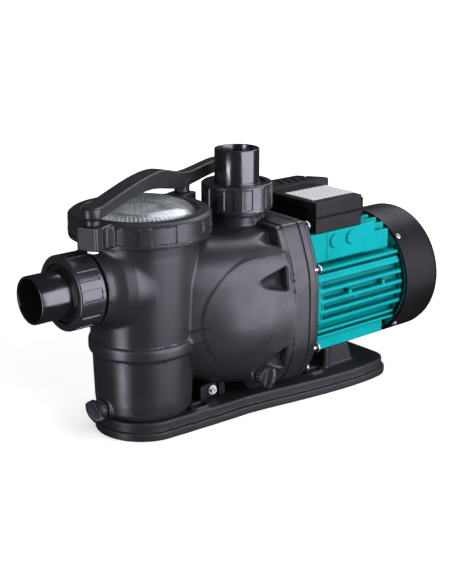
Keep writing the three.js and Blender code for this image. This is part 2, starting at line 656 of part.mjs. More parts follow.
// Everything turned about the shaft is built along +Z and laid along +X.
const shaftLine = new THREE.Group();
shaftLine.position.z = MOTOR_Z;
shaftLine.rotation.y = Math.PI / 2;
group.add(shaftLine);
const addOnShaft = (name, shape, look) => shaftLine.add(node(name, shape, look));

addOnShaft('casing_o_ring', casingSeal(), RUBBER());
addOnShaft('diffuser', diffuser(), NATURAL_PLASTIC());
addOnShaft('impeller', impeller(), NATURAL_PLASTIC());
addOnShaft('impeller_nut', impellerNut(), STEEL());
addOnShaft('seal_seat', sealSeat(), CERAMIC());
addOnShaft('seal_rotor', sealRotor(), STEEL());
addOnShaft('motor_shaft', shaft(), STEEL());
addOnShaft('rotor_core', rotorCore(), IRON());
addOnShaft('stator_core', statorCore(), IRON());
addOnShaft('stator_winding', statorWinding(), COPPER());
addOnShaft('front_bearing', bearing(BRACKET_BACK + GAP + 7.3), STEEL());
addOnShaft('rear_bearing', bearing(HOUSING_BACK - 11.5), STEEL());
addOnShaft('rear_end_shield', rearShield(), TEAL());
addOnShaft('cooling_fan', coolingFan(), BLACK_PLASTIC());
addOnShaft('fan_cover', fanCover(), BLACK_PLASTIC());
COVER_SCREW_TURNS.forEach((turn, i) => {
  addOnShaft(`fan_cover_screw_${i + 1}`, fanCoverScrew(turn), STEEL());
});

add('motor_housing', motorHousing(), TEAL());
add('terminal_box_base', terminalBoxBase(), BLACK_PLASTIC());
add('terminal_box_gasket', terminalBoxGasket(), RUBBER());
add('terminal_box_cover', terminalBoxCover(), BLACK_PLASTIC());
add('rating_plate', ratingPlate(), LABEL());
add('capacitor', capacitor(), GLOSS_BLACK());
add('terminal_block', terminalBlock(), NATURAL_PLASTIC());
add('cable_gland', cableGland(), BLACK_PLASTIC());

// Everything turned about the pot axis.
const potLine = new THREE.Group();
potLine.position.x = POT_X;
group.add(potLine);
potLine.add(node('strainer_basket', strainerBasket(), NATURAL_PLASTIC()));
potLine.add(node('clear_lid', clearLid(), CLEAR()));
potLine.add(node('lid_o_ring', lidSeal(), RUBBER()));
potLine.add(node('lid_ring', lidRing(), CHARCOAL()));
potLine.add(node('lid_lever', lidLever(), CHARCOAL()));
potLine.add(node('lever_screw', leverScrew(-86), STEEL()));
potLine.add(node('lever_pin', leverScrew(86), STEEL()));

const suctionUnion = pipeUnion('suction', TAIL_LENGTH);
suctionUnion.position.set(POT_X - SUCTION_END + TAIL_LENGTH, 0, SUCTION_Z);
suctionUnion.rotation.y = -Math.PI / 2;
group.add(suctionUnion);
const dischargeUnion = pipeUnion('discharge', DISCHARGE_END - DISCHARGE_FACE);
dischargeUnion.position.z = DISCHARGE_FACE;
group.add(dischargeUnion);

const strainerDrain = drain('strainer', 11, 45);
strainerDrain.position.set(POT_X - STRAINER_DRAIN_OUT, 0, STRAINER_DRAIN_Z);
strainerDrain.rotation.y = -Math.PI / 2;
group.add(strainerDrain);
const casingDrain = drain('casing', 12, 75);
casingDrain.position.set(CASING_DRAIN[0], -CASING_DRAIN_Y, CASING_DRAIN[1]);
casingDrain.rotation.x = Math.PI / 2;
group.add(casingDrain);

export default group;
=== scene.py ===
"""Pool pump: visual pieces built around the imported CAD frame.

Shapes are worked in millimetres in the CAD frame and turned to metres when a mesh is made.
Castings are signed distance fields, meshed on a grid and then settled onto the exact surface.
"""
import json
import math
import bmesh
import bpy
import numpy as np
import openvdb
from mathutils import Matrix, Vector


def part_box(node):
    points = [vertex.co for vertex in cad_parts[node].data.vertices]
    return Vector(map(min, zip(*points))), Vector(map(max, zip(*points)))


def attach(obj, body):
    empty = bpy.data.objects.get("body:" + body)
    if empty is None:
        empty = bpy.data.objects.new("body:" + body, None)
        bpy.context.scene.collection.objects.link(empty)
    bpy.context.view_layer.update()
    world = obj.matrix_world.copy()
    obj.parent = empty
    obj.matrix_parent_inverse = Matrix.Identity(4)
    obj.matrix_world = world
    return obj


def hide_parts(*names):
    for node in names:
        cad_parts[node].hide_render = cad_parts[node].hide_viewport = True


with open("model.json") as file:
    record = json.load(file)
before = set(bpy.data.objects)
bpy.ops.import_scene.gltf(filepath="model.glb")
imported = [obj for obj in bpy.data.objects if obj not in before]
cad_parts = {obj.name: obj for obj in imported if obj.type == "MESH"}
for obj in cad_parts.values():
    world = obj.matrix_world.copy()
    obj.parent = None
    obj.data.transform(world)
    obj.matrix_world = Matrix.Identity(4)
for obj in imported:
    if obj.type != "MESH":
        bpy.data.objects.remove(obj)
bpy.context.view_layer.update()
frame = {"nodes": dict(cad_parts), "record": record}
MM = 0.001


def corners(node):
    """Lowest and highest corner of a CAD node in millimetres."""
    low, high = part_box(node)
    return np.array(low) / MM, np.array(high) / MM


def middle(node):
    low, high = corners(node)
    return (low + high) / 2


# ---- Places taken from the frame ----
POT_X = middle("clear_lid")[0]
SHAFT_Z = middle("fan_cover")[2]
SUCTION_Z = middle("suction_tailpiece")[2]
CASING_LOW, CASING_HIGH = corners("pump_casing")
SUCTION_FACE = CASING_LOW[0]
DISCHARGE_FACE = CASING_HIGH[2]
RIM_Z = corners("clear_lid")[0][2] - 0.3
BASE_LOW, BASE_HIGH = corners("base_plate")
BASE_TOP = 20
FLANGE_FRONT, FLANGE_BACK = 3, CASING_HIGH[0]
BRACKET_BACK = corners("rear_bracket")[1][0]
LEVER_TURN = math.radians(21)
LEVER_POST = 86
AT_POT = Matrix.Translation((POT_X, 0, 0))
TO_SUCTION = Matrix.Translation((0, 0, SUCTION_Z)) @ Matrix.Rotation(-math.pi / 2, 4, "Y")
TO_SHAFT = Matrix.Translation((0, 0, SHAFT_Z)) @ Matrix.Rotation(math.pi / 2, 4, "Y")


# ---- Distance fields ----
def slab(t, low, high):
    return np.maximum(low - t, t - high)


def join(a, b, blend):
    """Union with a fillet of about that size."""
    h = np.maximum(blend - np.abs(a - b), 0) / blend
    return np.minimum(a, b) - h * h * blend / 4


def meet(a, b, blend):
    return -join(-a, -b, blend)


def carve(a, b, blend=0.6):
    """a with b taken out of it."""
    return meet(a, -b, blend)


def both(a, b, rounding=0.0):
    """Where two fields overlap, with the outside edge between them rounded."""
    a, b = a + rounding, b + rounding
    outside = np.hypot(np.maximum(a, 0), np.maximum(b, 0))
    return outside + np.minimum(np.maximum(a, b), 0) - rounding


def box2(u, v, half_u, half_v, rounding):
    return both(np.abs(u) - half_u, np.abs(v) - half_v, rounding)


def inset(points, amount):
    """An outline moved inwards by amount, corner by corner."""
    p = np.array(points, float)
    area = np.sum(p[:, 0] * np.roll(p[:, 1], -1) - np.roll(p[:, 0], -1) * p[:, 1])
    turn = 1 if area > 0 else -1
    before, after = p - np.roll(p, 1, 0), np.roll(p, -1, 0) - p
    before /= np.linalg.norm(before, axis=1)[:, None]
    after /= np.linalg.norm(after, axis=1)[:, None]
    n0 = turn * np.stack([-before[:, 1], before[:, 0]], 1)
    n1 = turn * np.stack([-after[:, 1], after[:, 0]], 1)
    mitre = (n0 + n1) / (1 + np.sum(n0 * n1, 1))[:, None]
    return p + mitre * amount


def soften(points, times=2):
    """An outline with its corners cut off again and again, close to a smooth curve."""
    p = np.array(points, float)
    for _ in range(times):
        after = np.roll(p, -1, 0)
        p = np.stack([0.75 * p + 0.25 * after, 0.25 * p + 0.75 * after], 1).reshape(-1, 2)
    return p


def outline(u, v, points, rounding=0.0):
    """Signed distance to a closed outline whose outer corners are rounded."""
    p = inset(points, rounding) if rounding else np.array(points, float)
    nearest, sign = None, 1.0
    for (ax, ay), (bx, by) in zip(p, np.roll(p, -1, 0)):
        ex, ey = bx - ax, by - ay
        wu, wv = u - ax, v - ay
        t = np.clip((wu * ex + wv * ey) / (ex * ex + ey * ey), 0, 1)
        d = (wu - ex * t) ** 2 + (wv - ey * t) ** 2
        nearest = d if nearest is None else np.minimum(nearest, d)
        above, below, left = v >= ay, v < by, ex * wv > ey * wu
        sign = np.where((above & below & left) | (~above & ~below & ~left), -sign, sign)
    return sign * np.sqrt(nearest) - rounding


def turned(r, z, profile, rounding=0.0):
    """A profile of (radius, height) turned about an axis; a solid one starts behind the axis."""
    return outline(r, z, profile, rounding)


def rod(r, t, radius, low, high, rounding=0.5):
    return both(r - radius, slab(t, low, high), rounding)


def tube(r, t, inner, outer, low, high, rounding=0.4):
    return both(slab(r, inner, outer), slab(t, low, high), rounding)


def around(u, v, count, phase=0.0):
    """Angle from the nearest of count equal steps about an axis."""
    step = 2 * math.pi / count
    a = np.arctan2(v, u) - phase
    return a - step * np.round(a / step)


# ---- Meshes ----
def settle(points, field, reach):
    """Moves mesh points onto the exact surface of the field."""
    h = 0.02
    p = points.astype(float)
    for _ in range(3):
        x, y, z = p.T
        f = field(x, y, z)
        slope = np.stack([field(x + h, y, z) - f, field(x, y + h, z) - f, field(x, y, z + h) - f], 1) / h
        move = -f[:, None] * slope / np.maximum(np.sum(slope * slope, 1), 0.25)[:, None]
        length = np.linalg.norm(move, axis=1)
        p += move * np.minimum(1, reach / np.maximum(length, 1e-9))[:, None]
    return p


def to_mesh(name, points, quads):
    mesh = bpy.data.meshes.new(name)
    mesh.vertices.add(len(points))
    mesh.vertices.foreach_set("co", (points * MM).astype(np.float32).ravel())
    mesh.loops.add(quads.size)
    mesh.loops.foreach_set("vertex_index", quads.astype(np.int32).ravel())
    mesh.polygons.add(len(quads))
    mesh.polygons.foreach_set("loop_start", np.arange(0, quads.size, quads.shape[1], dtype=np.int32))
    mesh.update(calc_edges=True)
    mesh.validate()
    return mesh


def facing_out(points, quads):
    """The quads, turned over if they enclose a negative volume."""
    a, b, c, d = (points[quads[:, i]] for i in range(4))
    volume = np.sum(a * np.cross(b, c)) + np.sum(a * np.cross(c, d))
    return quads[:, ::-1] if volume < 0 else quads


def placed(points, place):
    if place is None:
        return points
    return points @ np.array(place)[:3, :3].T + np.array(place)[:3, 3]


def cast(name, field, low, high, step, place=None):
    """Meshes a field inside the box low..high on a grid of that step."""
    low = np.array(low, float) - 2 * step
    axes = [np.arange(a, b + 3 * step, step) for a, b in zip(low, high)]
    x, y, z = (a.astype(np.float32) for a in np.ix_(*axes))
    values = np.broadcast_to(field(x, y, z), [len(a) for a in axes])
    grid = openvdb.FloatGrid(3 * step)
    grid.copyFromArray(np.ascontiguousarray(np.clip(values, -3 * step, 3 * step), np.float32))
    points, quads = grid.convertToQuads(0)
    points = settle(points * step + low, field, step / 2)
    return to_mesh(name, placed(points, place), facing_out(points, quads))


def spun(name, profile, place=None, segments=128):
    """A closed profile of (radius, height) turned into a ring, or onto the axis where radius is 0."""
    profile = np.array(profile, float)
    turns = np.linspace(0, 2 * math.pi, segments, endpoint=False)
    points = np.stack([np.outer(np.cos(turns), profile[:, 0]), np.outer(np.sin(turns), profile[:, 0]),
                       np.tile(profile[:, 1], (segments, 1))], 2).reshape(-1, 3)
    n = len(profile)
    quads = []
    for i in range(segments):
        for j in range(n):
            k, m = (i + 1) % segments, (j + 1) % n
            if profile[j, 0] or profile[m, 0]:
                quads.append((i * n + j, k * n + j, k * n + m, i * n + m))
    quads = np.array(quads)
    mesh = to_mesh(name, placed(points, place), facing_out(points, quads))
    weld(mesh)
    return mesh


def weld(mesh):
    """Joins the vertices that meet on the axis."""
    bm = bmesh.new()
    bm.from_mesh(mesh)
    bmesh.ops.remove_doubles(bm, verts=bm.verts, dist=1e-6)
    bmesh.ops.dissolve_degenerate(bm, edges=bm.edges, dist=1e-6)
    bmesh.ops.recalc_face_normals(bm, faces=bm.faces)
    bm.to_mesh(mesh)
    bm.free()


def piece(name, mesh, look, body, nodes=(), crease=35):
    """A finished visual piece on a CAD body."""
    obj = bpy.data.objects.new(name, mesh)
    bpy.context.scene.collection.objects.link(obj)
    mesh.materials.append(look)
    mesh.polygons.foreach_set("use_smooth", [True] * len(mesh.polygons))
    mesh.set_sharp_from_angle(angle=math.radians(crease))
    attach(obj, body)
    if nodes:
        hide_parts(*nodes)
    return obj


# ---- Materials ----
def feed(tree, value, socket):
    """Links a node's output to a socket, or sets the socket's own value."""
    if hasattr(value, "links"):
        tree.links.new(value, socket)
    else:
        socket.default_value = value


class Nodes:
    """A short way to write a node tree."""

    def __init__(self, name):
        self.look = bpy.data.materials.new(name)
        self.look.use_nodes = True
        self.tree = self.look.node_tree
        self.shader = self.tree.nodes["Principled BSDF"]
        self.place = self.add("TexCoord").outputs["Object"]

    def add(self, kind, inputs=(), **settings):
        node = self.tree.nodes.new("ShaderNode" + kind)
        for key, value in settings.items():
            setattr(node, key, value)
        for key, value in dict(inputs).items():
            feed(self.tree, value, node.inputs[key])
        return node

    def noise(self, scale, detail=2.0, stretch=None, roughness=0.5):
        place = self.place
        if stretch:
            place = self.add("Mapping", {"Vector": place, "Scale": stretch}).outputs[0]
        return self.add("TexNoise", {"Vector": place, "Scale": scale, "Detail": detail,
                                     "Roughness": roughness}).outputs[0]

    def span(self, value, low, high, start=0.3, end=0.7):
        return self.add("MapRange", {"Value": value, "From Min": start, "From Max": end,
                                     "To Min": low, "To Max": high}).outputs[0]

    def blend(self, amount, a, b, mode="MIX"):
        mix = self.add("Mix", data_type="RGBA", blend_type=mode)
        for value, socket in ((amount, mix.inputs[0]), (a, mix.inputs[6]), (b, mix.inputs[7])):
            feed(self.tree, value, socket)
        return mix.outputs[2]

    def bump(self, height, strength, distance, normal=None):
        inputs = {"Height": height, "Strength": strength, "Distance": distance}
        if normal is not None:
            inputs["Normal"] = normal
        return self.add("Bump", inputs).outputs[0]

    def wire(self, **sockets):
        for key, value in sockets.items():
            feed(self.tree, value, self.shader.inputs[key.replace("_", " ")])
        return self.look


def rgb(r, g, b):
    return (r, g, b, 1.0)


def grey(level):
    return rgb(level, level, level)


def shade(colour, amount):
    """A colour made darker, or lighter with an amount over 1."""
    return rgb(*[min(1, amount * c) for c in colour])


def moulded(name, dark, light, roughness, grain, ior=1.5, specular=0.5):
    """Moulded plastic: uneven colour, worn patches of gloss and a fine grain."""
    n = Nodes(name)
    cloud, speck = n.noise(22, 3), n.noise(900, 2)
    colour = n.blend(n.span(cloud, 0, 1), rgb(*dark), rgb(*light))
    colour = n.blend(n.span(speck, 0.0, 0.25, 0.45, 0.75), colour, shade(light, 1.5))
    gloss = n.span(n.noise(60, 4), roughness - 0.05, roughness + 0.06)
    fine = n.bump(n.noise(1600, 3, roughness=0.6), grain, 0.00012)
    return n.wire(Base_Color=colour, Roughness=gloss, IOR=ior, Specular_IOR_Level=specular,
                  Specular_Tint=rgb(0.91, 0.90, 1.0), Normal=n.bump(n.noise(45, 2), 0.12, 0.0006, fine))


def painted(name, dark, light):
    """Thick sprayed paint with a slight orange peel on cast metal, uneven in tone, with painted shade that
    darkens it in the gaps.
    """
    n = Nodes(name)
    colour = n.blend(n.span(n.noise(30, 3), 0, 1), rgb(*dark), rgb(*light))
    # painted shade: ambient occlusion darkens the paint colour in the gaps between the fins and in other
    # hollows
    gaps = n.add("AmbientOcclusion", {"Distance": 0.014}, samples=6).outputs["AO"]
    colour = n.blend(n.span(gaps, 0.0, 1.0, 0.25, 0.8), shade(dark, 0.42), colour)
    gloss = n.span(n.noise(120, 3), 0.46, 0.58)
    peel = n.bump(n.noise(520, 2), 0.16, 0.0002)
    return n.wire(Base_Color=colour, Roughness=gloss, Specular_IOR_Level=0.08,
                  Normal=n.bump(n.noise(60, 2), 0.15, 0.0005, peel))


def metal(name, base, roughness, stretch=(1, 1, 1)):
    n = Nodes(name)
    lines = n.noise(700, 2, stretch)
    colour = n.blend(n.span(n.noise(90, 3), 0, 1), shade(base, 0.8), rgb(*base))
    gloss = n.span(lines, roughness - 0.08, roughness + 0.1)
    return n.wire(Base_Color=colour, Metallic=1.0, Roughness=gloss,
                  Normal=n.bump(lines, 0.15, 0.00008))


def rubber():
    n = Nodes("rubber_seal")
    colour = n.blend(n.span(n.noise(150, 3), 0, 1), rgb(0.008, 0.008, 0.008), rgb(0.02, 0.02, 0.021))
    return n.wire(Base_Color=colour, Roughness=n.span(n.noise(300, 2), 0.6, 0.8),
                  Normal=n.bump(n.noise(1500, 2), 0.3, 0.0001))


def clear():
    n = Nodes("clear_polycarbonate")
    gloss = n.span(n.noise(40, 3), 0.05, 0.10)
    n.wire(Base_Color=rgb(0.80, 0.83, 0.86), Roughness=gloss, Transmission_Weight=0.93, IOR=1.55,
           Normal=n.bump(n.noise(35, 1), 0.04, 0.0004))
    see = n.add("BsdfTransparent", {"Color": rgb(0.86, 0.89, 0.9)})
    ray = n.add("LightPath").outputs["Is Shadow Ray"]
    mix = n.add("MixShader", {0: ray, 1: n.shader.outputs[0], 2: see.outputs[0]})
    n.tree.links.new(mix.outputs[0], n.tree.nodes["Material Output"].inputs["Surface"])
    return n.look


def foil():
    n = Nodes("label_foil")
    crinkle = n.noise(300, 5, roughness=0.75)
    colour = n.blend(n.span(crinkle, 0, 1, 0.40, 0.60), rgb(0.60, 0.62, 0.63), rgb(0.95, 0.96, 0.97))
    return n.wire(Base_Color=colour, Metallic=0.1, Roughness=n.span(crinkle, 0.3, 0.5),
                  Normal=n.bump(crinkle, 0.35, 0.0003))


def wound(name, base, spacing):
    """Laminated or wound metal: fine lines across the shaft."""
    n = Nodes(name)
    waves = n.add("TexWave", {"Vector": n.place, "Scale": spacing, "Distortion": 0.6, "Detail": 1.0},
                  bands_direction="X").outputs[1]
    colour = n.blend(waves, shade(base, 0.55), rgb(*base))
    return n.wire(Base_Color=colour, Metallic=0.9, Roughness=n.span(waves, 0.5, 0.35, 0, 1),
                  Normal=n.bump(waves, 0.4, 0.0002))


CHARCOAL_DARK, CHARCOAL_LIGHT = (0.017, 0.017, 0.020), (0.024, 0.024, 0.028)
CHARCOAL = moulded("charcoal_casing", CHARCOAL_DARK, CHARCOAL_LIGHT, 0.37, 0.16, specular=0.56)
CHARCOAL_NUT = moulded("charcoal_nut", CHARCOAL_DARK, CHARCOAL_LIGHT, 0.27, 0.12, specular=0.85)
BLACK = moulded("black_plastic", (0.006, 0.006, 0.007), (0.011, 0.011, 0.012), 0.44, 0.20, specular=0.2)
BASE_BLACK = moulded("base_plastic", (0.014, 0.014, 0.016), (0.022, 0.022, 0.025), 0.46, 0.26, specular=0.3)
PIPE = moulded("gloss_pipe", (0.009, 0.009, 0.011), (0.013, 0.013, 0.015), 0.19, 0.05, 1.6, 0.75)
TEAL = painted("teal_paint", (0.0, 0.31, 0.322), (0.0, 0.37, 0.386))
STEEL = metal("zinc_steel", (0.74, 0.75, 0.77), 0.38)
SHAFT_STEEL = metal("ground_shaft", (0.62, 0.63, 0.65), 0.22, (1, 12, 12))
CAST_METAL = metal("cast_shield", (0.36, 0.37, 0.38), 0.5)
RUBBER = rubber()
CLEAR = clear()
FOIL = foil()
NATURAL = moulded("natural_plastic", (0.60, 0.60, 0.57), (0.74, 0.74, 0.71), 0.42, 0.12)
CERAMIC = moulded("ceramic_seal", (0.70, 0.69, 0.66), (0.80, 0.79, 0.76), 0.22, 0.05)
LAMINATION = wound("stator_laminations", (0.40, 0.41, 0.42), 320.0)
COPPER = wound("enamelled_copper", (0.62, 0.27, 0.10), 260.0)


# ---- Pump casing ----
POT_PROFILE = [(-20, 20.3), (44, 20.3), (49.5, 22.3), (52, 27), (53, 38), (54.4, 89.5), (57.4, 90.3),
               (58.4, 93), (58.4, 101.5), (57.4, 104.3), (55.6, 105.2), (60, 203), (61, 214), (64, 217),
               (64, RIM_Z), (-20, RIM_Z)]
SUCTION_FLARE = [(-20, 20), (54, 20), (51.5, 40), (47, 51), (42.5, 58), (40.6, 62), (40.6, 69), (-20, 69)]
POT_INSIDE = [(-20, 25.5), (34, 25.5), (41, 30), (44, 38), (48, 86), (51, 203), (55, 203), (55, 250),
              (-20, 250)]
CHAMBER = [(-20, -58), (58, -58), (69, -48), (74, -34), (74, 60), (-20, 60)]
FLANGE_HALF = [(60, 214), (66, 208), (74, 190), (85, 159), (87, 133), (87, 83), (84, 63), (68, 32),
               (46, 23)]
FLANGE = soften(FLANGE_HALF + [(-y, z) for y, z in reversed(FLANGE_HALF)])
BARREL_X, BARREL_R, BARREL_Z = -28, 83.2, 112
WAIST_BLEND = 12
PORT_BORE_R, PORT_END_R = 22, 31.2
DRAIN_BORE_R = 5.8
BOLTS = [(58, 204), (79, 158), (79, 66), (61, 37)]
# length and radius of the pocket in front of each of the three upper bolts
BOLT_POCKETS = [(34, 13), (47, 13.5), (32, 13)]
STRAINER_DRAIN = middle("strainer_drain_o_ring")
CASING_DRAIN = middle("casing_drain_o_ring")


def barrel(x, y, z):
    front = np.minimum(x - BARREL_X, 0)
    ball = np.sqrt(front ** 2 + y ** 2 + (z - BARREL_Z) ** 2) - BARREL_R
    return np.maximum(ball, x - FLANGE_FRONT - 3)


def bridge(x, y, z):
    """The waist between the pot and the flange, wider and deeper towards the flange."""
    far = np.clip(-x / 115, 0, 1.2)
    half_width = 82 - 34 * far ** 1.9
    bottom = 25 + 27 * np.clip(far, 0, 1) ** 0.8
    centre, half_height = (206 + bottom) / 2, (206 - bottom) / 2
    section = box2(y, z - centre, half_width, half_height, 49)
    return np.maximum(section, slab(x, POT_X, FLANGE_FRONT + 3))


def barrel_and_waist(x, y, z):
    return join(barrel(x, y, z), bridge(x, y, z), WAIST_BLEND)


def seam_step(x, y, z):
    """How far the sides stand out inside the volute's round seam."""
    height, width = 0.8, 1.5
    inside = 67 - np.hypot(np.minimum(x - BARREL_X + 3, 0), z - 120)
    return height * np.clip((np.abs(y) - 40) / 8, 0, 1) * np.clip(inside / width, 0, 1)


def bolt_pocket(x, y, z, by, bz, length, radius):
    """A half cone cut into the barrel, so that a tool reaches the nut of its flange bolt."""
    t = np.clip((x - (FLANGE_FRONT - length)) / length, 0, 1)
    r = np.hypot(np.abs(y) - by - 4, z - bz)
    return np.maximum((r - radius * t ** 0.8) * 0.85, slab(x, FLANGE_FRONT - length, FLANGE_FRONT))


def flange(x, y, z):
    lip = both(outline(y, z, inset(FLANGE, 2.2), 6), slab(x, FLANGE_FRONT, 14), 1.6)
    band = both(outline(y, z, FLANGE, 6), slab(x, 10.5, FLANGE_BACK), 1.4)
    return join(lip, band, 1.2)


def casing(x, y, z):
    pot_r = np.hypot(x - POT_X, y)
    pot = turned(pot_r, z, POT_PROFILE, 1.2)
    body = barrel_and_waist(x, y, z) - seam_step(x, y, z)
    for (by, bz), (length, radius) in zip(BOLTS, BOLT_POCKETS):
        body = carve(body, bolt_pocket(x, y, z, by, bz, length, radius), 3)
    shape = join(pot, body, 1.4)
    out = POT_X - x
    suction_r = np.hypot(y, z - SUCTION_Z)
    shape = join(shape, turned(suction_r, out, SUCTION_FLARE, 1.5), 3)
    neck_r = np.hypot(x, y)
    shape = join(shape, rod(neck_r, z, 32.6, 150, 205.5, 1.5), 5)
    shape = join(shape, rod(neck_r, z, 29.3, 150, 224, 0.5), 2.5)
    shape = join(shape, flange(x, y, z), 2.5)
    drain_r = np.hypot(y - STRAINER_DRAIN[1], z - STRAINER_DRAIN[2])
    shape = join(shape, rod(drain_r, out, 11.5, 30, 52.5, 0.8), 4)
    side_r = np.hypot(x - CASING_DRAIN[0], z - CASING_DRAIN[2])
    shape = join(shape, rod(side_r, -y, 13, 40, 74, 0.8), 4)
    nut_boss = np.hypot(np.abs(y) - BOLTS[3][0] + 1, z - BOLTS[3][1] - 6)
    shape = join(shape, rod(nut_boss, x, 10.5, -34, FLANGE_FRONT + 2, 3), 4)
    shape = np.minimum(shape, rod(suction_r, out, PORT_END_R, 60, POT_X - SUCTION_FACE, 0.6))
    shape = np.minimum(shape, rod(neck_r, z, PORT_END_R, 218, DISCHARGE_FACE, 0.6))
    shape = carve(shape, turned(pot_r, z, POT_INSIDE, 0.5))
    chamber_r = np.hypot(y, z - SHAFT_Z)
    hollow = turned(chamber_r, x, CHAMBER)
    hollow = np.minimum(hollow, rod(chamber_r, x, 27, -100, -50))
    hollow = np.minimum(hollow, rod(suction_r, out, PORT_BORE_R, 0, 120))
    hollow = np.minimum(hollow, rod(neck_r, z, PORT_BORE_R, SHAFT_Z, 300))
    hollow = np.minimum(hollow, rod(drain_r, out, DRAIN_BORE_R, 30, 70))
    hollow = np.minimum(hollow, rod(side_r, -y, DRAIN_BORE_R, 50, 90))
    foot = np.maximum(slab(x, -81, -43), np.maximum(np.abs(y) - 34, z - 38))
    return carve(carve(shape, hollow), foot, 1.0)


def thread(name, low, high, place):
    """A sleeve with a helical thread on its outside."""
    inner, outer, depth, lead = 30.6, 33, 1.3, 4.0

    def field(x, y, z):
        r = np.hypot(x, y)
        turns = z / lead - np.arctan2(y, x) / (2 * math.pi)
        ridge = np.abs(turns - np.round(turns)) * 2
        fade = np.clip((z - low) / 2, 0, 1) * np.clip((high - z) / 2, 0, 1)
        crest = outer - depth + depth * fade * np.clip(1.4 - 1.8 * ridge, 0, 1)
        return np.maximum((r - crest) * 0.75, np.maximum(inner - r, slab(z, low, high)))
    reach = outer + 1
    return cast(name, field, (-reach, -reach, low), (reach, reach, high), 0.9, place)


piece("casing_body", cast("casing_body", casing, CASING_LOW, CASING_HIGH, 1.6), CHARCOAL, "pump",
      ["pump_casing"])


def waist_ribs(x, y, z):
    """Two thin ribs low on the waist, from the pot to the volute's seam."""
    half_width, height = 1.1, 3.4
    lower = np.abs(z - 101 - 0.18 * (x + 90))
    upper = np.abs(z - 116 - 0.15 * (x + 90))
    near_body = np.abs(barrel_and_waist(x, y, z)) - height
    rib = np.minimum(lower, upper) - half_width
    return both(rib, np.maximum(near_body, slab(x, -126, -90)), 0.4)


for side, low_y, high_y in (("near", -74, -44), ("far", 44, 74)):
    mesh = cast(f"waist_ribs_{side}", waist_ribs, (-128, low_y, 92), (-86, high_y, 120), 0.6)
    piece(f"waist_ribs_{side}", mesh, CHARCOAL, "pump")

for name, low, high, place in (("suction_thread", 70 - POT_X, -SUCTION_FACE - 0.8, TO_SUCTION),
                               ("discharge_thread", 223.5, DISCHARGE_FACE - 0.8, None)):
    piece(name, thread(name, low, high, place), CHARCOAL, "pump")


# ---- Rear bracket ----
def rear_bracket(x, y, z):
    start = FLANGE_BACK + 0.3
    wide = both(outline(y, z, FLANGE, 6), slab(x, start, 43.5), 1.4)
    narrow = both(outline(y, z, inset(FLANGE, 4), 6), slab(x, 42, BRACKET_BACK), 1.6)
    r = np.hypot(y, z - SHAFT_Z)
    spigot = tube(r, x, 60, 73.6, 22, 36)
    seal_boss = rod(r, x, 26, 14, 45)
    shape = np.minimum(join(wide, narrow, 1.5), np.minimum(spigot, seal_boss))
    back_pocket = tube(r, x, 26, 62, 44, 60)
    shaft_bore = np.minimum(rod(r, x, 9.5, 10, 60), rod(r, x, 16.4, 10, 22))
    return carve(shape, np.minimum(back_pocket, shaft_bore))


low, high = corners("rear_bracket")
piece("rear_bracket_plate", cast("rear_bracket_plate", rear_bracket, low, high, 1.3), CHARCOAL, "pump",
      ["rear_bracket"])


# ---- Base plate ----
PLAN_SIDE = [(-57, 57), (-24, 57), (47, 68), (91, 73), (131, 75), (165, 73), (181, 67), (190, 56),
             (192, 44)]
HEAD = [(POT_X + 54 * math.cos(a), 54 * math.sin(a)) for a in np.radians(np.arange(100, 261, 8))]
PLAN = soften([(x, -y) for x, y in PLAN_SIDE] + [(x, y) for x, y in reversed(PLAN_SIDE)] + HEAD, 1)
SLOTS = [(-91, 43), (80, 47)]
PEDESTAL = [(96, 10), (98.5, 45), (137, 45), (150, 10)]
# start and end along x of the hollows between the ribs underneath
BASE_POCKETS = [(-190, -112), (-70, -2.5), (2.5, 58), (102, 190)]


def from_slot(x, y, slot_x, slot_y):
    """Distance from the middle line of a fixing slot."""
    return np.hypot(np.maximum(np.abs(x - slot_x) - 4.5, 0), np.abs(y) - slot_y)


def base_plate(x, y, z):
    rim = both(outline(x, y, PLAN, 10), slab(z, 0, 9.2), 1.6)
    deck = both(outline(x, y, inset(PLAN, 3.5), 8), slab(z, 3, BASE_TOP), 2.2)
    shape = join(rim, deck, 1.2)
    shape = join(shape, both(outline(x, z, PEDESTAL, 4), np.abs(y) - 46.5, 2.5), 4)
    post = both(box2(x - 101.5, np.abs(y) - 44, 4.6, 4.6, 3.4), slab(z, 12, 45), 1.5)
    shape = join(shape, post, 1.5)
    slots = [from_slot(x, y, *slot) for slot in SLOTS]
    for slot in slots:
        shape = join(shape, both(slot - 8.6, slab(z, 5, BASE_TOP + 4), 1.2), 1.2)
    nearest_slot = np.minimum(*slots)
    along = np.minimum.reduce([slab(x, start, end) for start, end in BASE_POCKETS])
    within = np.maximum(outline(x, y, inset(PLAN, 5)), z - 15)
    pocket = np.maximum(np.maximum(along, 2.5 - np.abs(y)), within)
    shape = carve(shape, np.maximum(pocket, 9 - nearest_slot), 0.8)
    return carve(shape, nearest_slot - 4.5, 0.8)


piece("base_moulding", cast("base_moulding", base_plate, BASE_LOW, BASE_HIGH, 1.3), BASE_BLACK, "pump",
      ["base_plate"])


# ---- Foot bracket ----
def foot_bracket(x, y, z):
    plate = both(slab(x, -78, -46), np.maximum(np.abs(y) - 28, slab(z, 20.3, 24)), 0.5)
    side = np.abs(y)
    ear = both(slab(side, 26, 32.5), both(slab(x, -80, -44), slab(z, 20.3, 37.5), 3.5), 1.0)
    recess = both(slab(x, -71, -53), slab(side, 29, 42), 0.5)
    ear = carve(ear, np.maximum(recess, 19 - z), 0.5)
    return carve(join(plate, ear, 1.5), rod(np.hypot(x + 61, z - 29), side, 2.8, 0, 60))


low, high = corners("foot_bracket")
piece("foot_bracket_body", cast("foot_bracket_body", foot_bracket, low, high, 0.9), BLACK, "pump",
      ["foot_bracket"])


